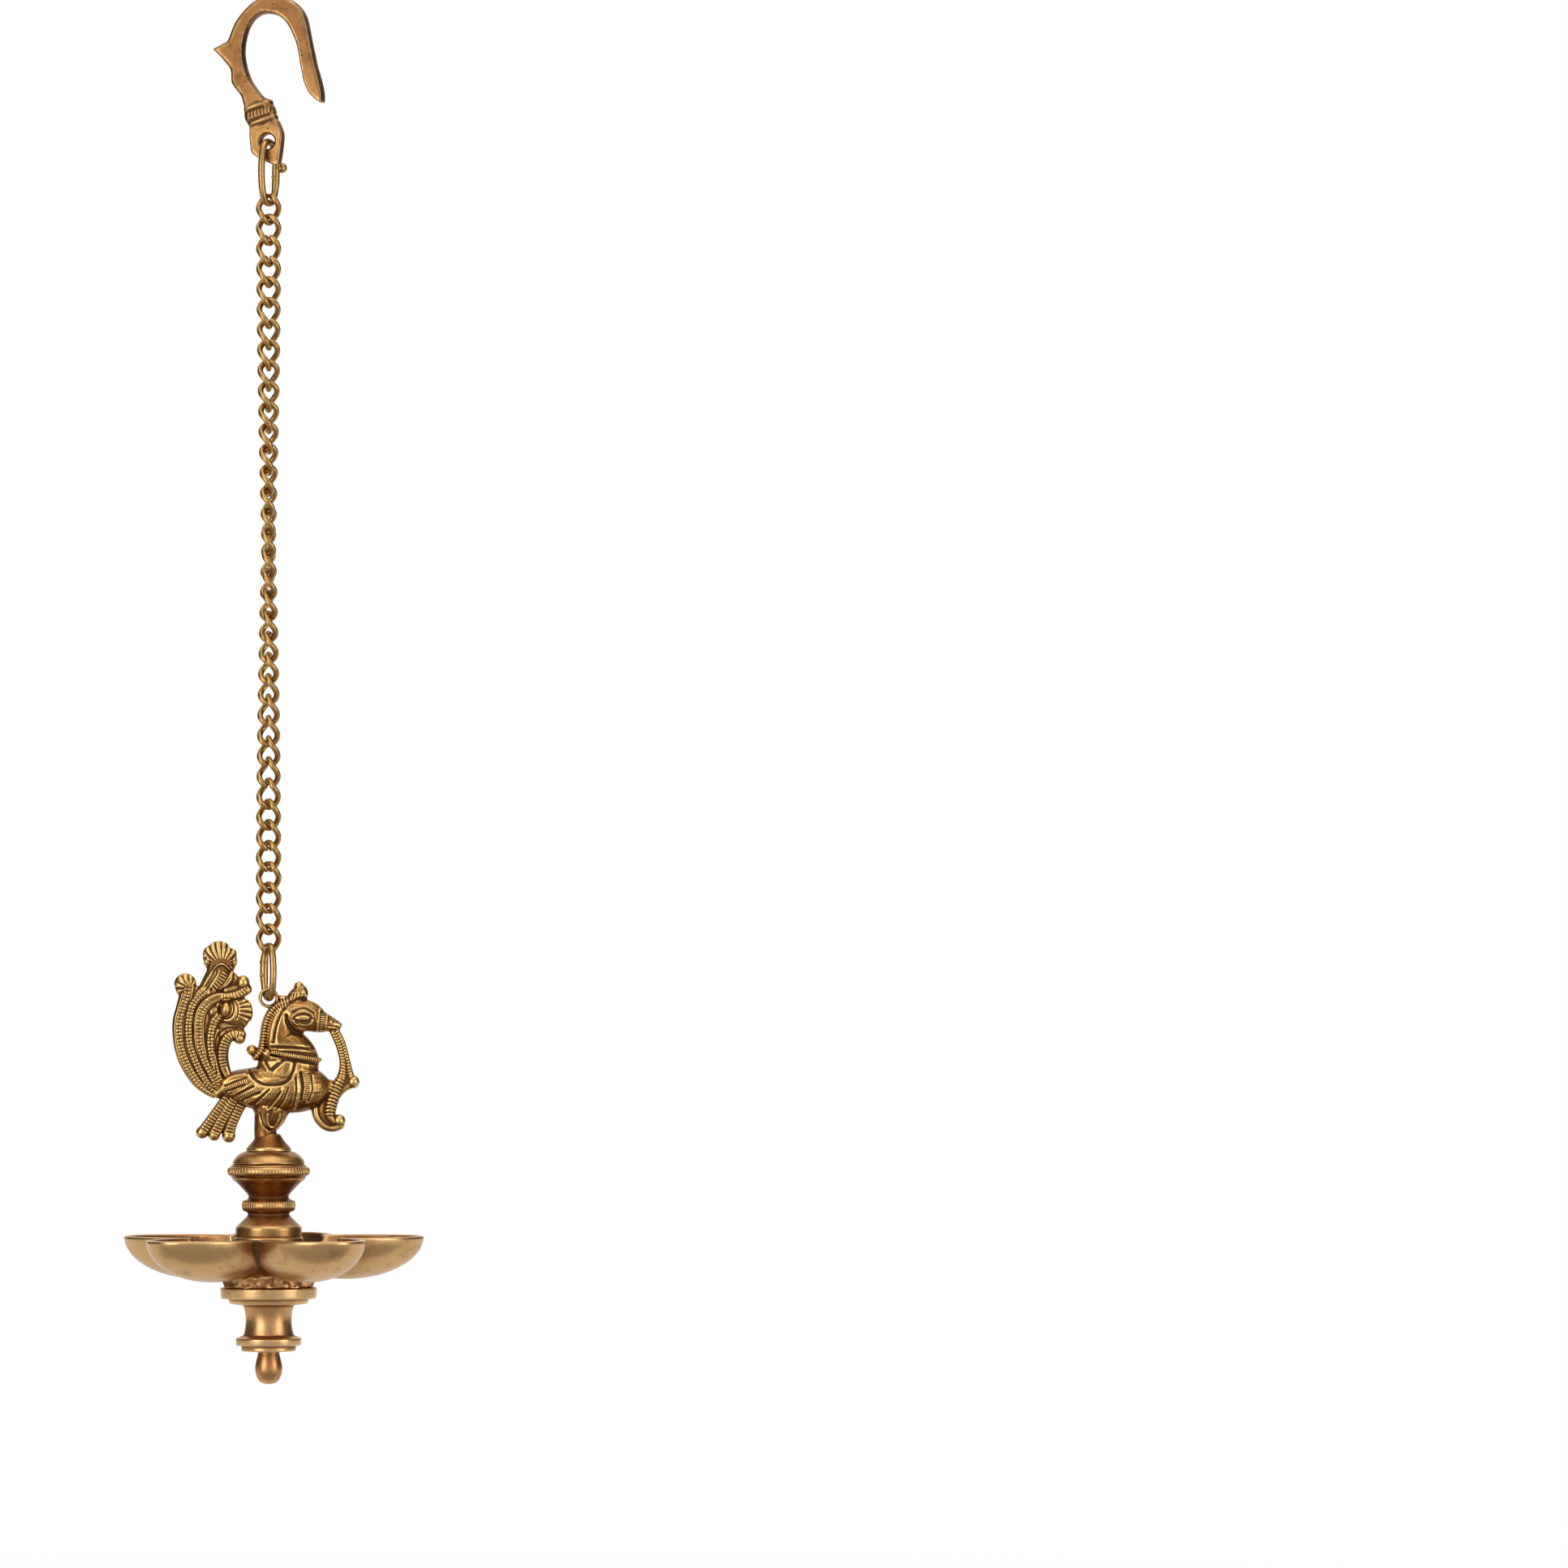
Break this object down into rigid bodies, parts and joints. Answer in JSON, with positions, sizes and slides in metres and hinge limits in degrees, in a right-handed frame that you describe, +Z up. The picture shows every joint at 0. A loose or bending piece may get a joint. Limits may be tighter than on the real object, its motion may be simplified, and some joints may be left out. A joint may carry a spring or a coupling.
{
  "type": "hanging chain oil lamp",
  "caption": "Cast brass oil lamp hung from a hook by a curb chain: a long-tailed bird on a turned pedestal over a petal-shaped oil dish, with a waisted stem and drop finial.",
  "frame": {"origin": "the inside top of the hook's arch, where the lamp bears on what it hangs from", "axes": "+Z up along the hanging line, +X the way the bird looks, -Y towards the viewer of the picture"},
  "size_m": [0.1175, 0.117, 0.5458],
  "materials": {
    "hook": "cast, copper-toned antique brass",
    "chain": "drawn wire, antique brass",
    "bird": "cast and chased antique brass, dark in the recesses",
    "lamp": "cast and turned antique brass",
    "stud": "plain threaded rod, unseen"
  },
  "bodies": {
    "hook": {"hook": "hook"},
    "upper_ring": {"upper_ring": "chain"},
    "link_01": {"link_01": "chain"},
    "link_02": {"link_02": "chain"},
    "link_03": {"link_03": "chain"},
    "link_04": {"link_04": "chain"},
    "link_05": {"link_05": "chain"},
    "link_06": {"link_06": "chain"},
    "link_07": {"link_07": "chain"},
    "link_08": {"link_08": "chain"},
    "link_09": {"link_09": "chain"},
    "link_10": {"link_10": "chain"},
    "link_11": {"link_11": "chain"},
    "link_12": {"link_12": "chain"},
    "link_13": {"link_13": "chain"},
    "link_14": {"link_14": "chain"},
    "link_15": {"link_15": "chain"},
    "link_16": {"link_16": "chain"},
    "link_17": {"link_17": "chain"},
    "link_18": {"link_18": "chain"},
    "link_19": {"link_19": "chain"},
    "link_20": {"link_20": "chain"},
    "link_21": {"link_21": "chain"},
    "link_22": {"link_22": "chain"},
    "link_23": {"link_23": "chain"},
    "link_24": {"link_24": "chain"},
    "link_25": {"link_25": "chain"},
    "link_26": {"link_26": "chain"},
    "link_27": {"link_27": "chain"},
    "link_28": {"link_28": "chain"},
    "link_29": {"link_29": "chain"},
    "link_30": {"link_30": "chain"},
    "link_31": {"link_31": "chain"},
    "link_32": {"link_32": "chain"},
    "link_33": {"link_33": "chain"},
    "link_34": {"link_34": "chain"},
    "link_35": {"link_35": "chain"},
    "link_36": {"link_36": "chain"},
    "lower_ring": {"lower_ring": "chain"},
    "lamp": {"bird": "bird", "pedestal": "lamp", "dish": "lamp", "stem": "lamp", "finial": "lamp", "stud": "stud"}
  },
  "joints": [
    {"name": "upper_ring_swing", "type": "hinge", "parent": "hook", "child": "upper_ring", "pos_m": [0, 0, -0.05067], "axis": [0.4695, 0.8829, 0], "range_deg": [-35, 35]},
    {"name": "link_01_swing", "type": "hinge", "parent": "upper_ring", "child": "link_01", "pos_m": [0, 0, -0.07483], "axis": [0.4695, 0.8829, 0], "range_deg": [-20, 20]},
    {"name": "link_02_swing", "type": "hinge", "parent": "link_01", "child": "link_02", "pos_m": [0, 0, -0.07995], "axis": [0.8475, -0.5308, 0], "range_deg": [-20, 20]},
    {"name": "link_03_swing", "type": "hinge", "parent": "link_02", "child": "link_03", "pos_m": [0, 0, -0.09075], "axis": [0.5308, 0.8475, 0], "range_deg": [-20, 20]},
    {"name": "link_04_swing", "type": "hinge", "parent": "link_03", "child": "link_04", "pos_m": [0, 0, -0.09635], "axis": [0.9286, -0.371, 0], "range_deg": [-20, 20]},
    {"name": "link_05_swing", "type": "hinge", "parent": "link_04", "child": "link_05", "pos_m": [0, 0, -0.10715], "axis": [0.371, 0.9286, 0], "range_deg": [-20, 20]},
    {"name": "link_06_swing", "type": "hinge", "parent": "link_05", "child": "link_06", "pos_m": [0, 0, -0.11275], "axis": [0.9799, -0.1994, 0], "range_deg": [-20, 20]},
    {"name": "link_07_swing", "type": "hinge", "parent": "link_06", "child": "link_07", "pos_m": [0, 0, -0.12355], "axis": [0.1994, 0.9799, 0], "range_deg": [-20, 20]},
    {"name": "link_08_swing", "type": "hinge", "parent": "link_07", "child": "link_08", "pos_m": [0, 0, -0.12915], "axis": [0.9998, -0.0213, 0], "range_deg": [-20, 20]},
    {"name": "link_09_swing", "type": "hinge", "parent": "link_08", "child": "link_09", "pos_m": [0, 0, -0.13995], "axis": [0.0213, 0.9998, 0], "range_deg": [-20, 20]},
    {"name": "link_10_swing", "type": "hinge", "parent": "link_09", "child": "link_10", "pos_m": [0, 0, -0.14555], "axis": [0.9875, 0.1575, 0], "range_deg": [-20, 20]},
    {"name": "link_11_swing", "type": "hinge", "parent": "link_10", "child": "link_11", "pos_m": [0, 0, -0.15635], "axis": [-0.1575, 0.9875, 0], "range_deg": [-20, 20]},
    {"name": "link_12_swing", "type": "hinge", "parent": "link_11", "child": "link_12", "pos_m": [0, 0, -0.16195], "axis": [0.9436, 0.3312, 0], "range_deg": [-20, 20]},
    {"name": "link_13_swing", "type": "hinge", "parent": "link_12", "child": "link_13", "pos_m": [0, 0, -0.17275], "axis": [-0.3312, 0.9436, 0], "range_deg": [-20, 20]},
    {"name": "link_14_swing", "type": "hinge", "parent": "link_13", "child": "link_14", "pos_m": [0, 0, -0.17835], "axis": [0.8693, 0.4942, 0], "range_deg": [-20, 20]},
    {"name": "link_15_swing", "type": "hinge", "parent": "link_14", "child": "link_15", "pos_m": [0, 0, -0.18915], "axis": [-0.4942, 0.8693, 0], "range_deg": [-20, 20]},
    {"name": "link_16_swing", "type": "hinge", "parent": "link_15", "child": "link_16", "pos_m": [0, 0, -0.19475], "axis": [0.7672, 0.6414, 0], "range_deg": [-20, 20]},
    {"name": "link_17_swing", "type": "hinge", "parent": "link_16", "child": "link_17", "pos_m": [0, 0, -0.20555], "axis": [-0.6414, 0.7672, 0], "range_deg": [-20, 20]},
    {"name": "link_18_swing", "type": "hinge", "parent": "link_17", "child": "link_18", "pos_m": [0, 0, -0.21115], "axis": [0.6404, 0.7681, 0], "range_deg": [-20, 20]},
    {"name": "link_19_swing", "type": "hinge", "parent": "link_18", "child": "link_19", "pos_m": [0, 0, -0.22195], "axis": [-0.7681, 0.6404, 0], "range_deg": [-20, 20]},
    {"name": "link_20_swing", "type": "hinge", "parent": "link_19", "child": "link_20", "pos_m": [0, 0, -0.22755], "axis": [0.493, 0.87, 0], "range_deg": [-20, 20]},
    {"name": "link_21_swing", "type": "hinge", "parent": "link_20", "child": "link_21", "pos_m": [0, 0, -0.23835], "axis": [-0.87, 0.493, 0], "range_deg": [-20, 20]},
    {"name": "link_22_swing", "type": "hinge", "parent": "link_21", "child": "link_22", "pos_m": [0, 0, -0.24395], "axis": [0.3299, 0.944, 0], "range_deg": [-20, 20]},
    {"name": "link_23_swing", "type": "hinge", "parent": "link_22", "child": "link_23", "pos_m": [0, 0, -0.25475], "axis": [-0.944, 0.3299, 0], "range_deg": [-20, 20]},
    {"name": "link_24_swing", "type": "hinge", "parent": "link_23", "child": "link_24", "pos_m": [0, 0, -0.26035], "axis": [0.1561, 0.9877, 0], "range_deg": [-20, 20]},
    {"name": "link_25_swing", "type": "hinge", "parent": "link_24", "child": "link_25", "pos_m": [0, 0, -0.27115], "axis": [-0.9877, 0.1561, 0], "range_deg": [-20, 20]},
    {"name": "link_26_swing", "type": "hinge", "parent": "link_25", "child": "link_26", "pos_m": [0, 0, -0.27675], "axis": [-0.0227, 0.9997, 0], "range_deg": [-20, 20]},
    {"name": "link_27_swing", "type": "hinge", "parent": "link_26", "child": "link_27", "pos_m": [0, 0, -0.28755], "axis": [-0.9997, -0.0227, 0], "range_deg": [-20, 20]},
    {"name": "link_28_swing", "type": "hinge", "parent": "link_27", "child": "link_28", "pos_m": [0, 0, -0.29315], "axis": [-0.2007, 0.9796, 0], "range_deg": [-20, 20]},
    {"name": "link_29_swing", "type": "hinge", "parent": "link_28", "child": "link_29", "pos_m": [0, 0, -0.30395], "axis": [-0.9796, -0.2007, 0], "range_deg": [-20, 20]},
    {"name": "link_30_swing", "type": "hinge", "parent": "link_29", "child": "link_30", "pos_m": [0, 0, -0.30955], "axis": [-0.3723, 0.9281, 0], "range_deg": [-20, 20]},
    {"name": "link_31_swing", "type": "hinge", "parent": "link_30", "child": "link_31", "pos_m": [0, 0, -0.32035], "axis": [-0.9281, -0.3723, 0], "range_deg": [-20, 20]},
    {"name": "link_32_swing", "type": "hinge", "parent": "link_31", "child": "link_32", "pos_m": [0, 0, -0.32595], "axis": [-0.532, 0.8468, 0], "range_deg": [-20, 20]},
    {"name": "link_33_swing", "type": "hinge", "parent": "link_32", "child": "link_33", "pos_m": [0, 0, -0.33675], "axis": [-0.8468, -0.532, 0], "range_deg": [-20, 20]},
    {"name": "link_34_swing", "type": "hinge", "parent": "link_33", "child": "link_34", "pos_m": [0, 0, -0.34235], "axis": [-0.6746, 0.7382, 0], "range_deg": [-20, 20]},
    {"name": "link_35_swing", "type": "hinge", "parent": "link_34", "child": "link_35", "pos_m": [0, 0, -0.35315], "axis": [-0.7382, -0.6746, 0], "range_deg": [-20, 20]},
    {"name": "link_36_swing", "type": "hinge", "parent": "link_35", "child": "link_36", "pos_m": [0, 0, -0.35875], "axis": [-0.7955, 0.606, 0], "range_deg": [-20, 20]},
    {"name": "lower_ring_swing", "type": "hinge", "parent": "link_36", "child": "lower_ring", "pos_m": [0, 0, -0.36647], "axis": [-0.342, 0.9397, 0], "range_deg": [-20, 20]},
    {"name": "lamp_swing", "type": "hinge", "parent": "lower_ring", "child": "lamp", "pos_m": [0, 0, -0.38703], "axis": [-0.342, 0.9397, 0], "range_deg": [-20, 20]}
  ]
}
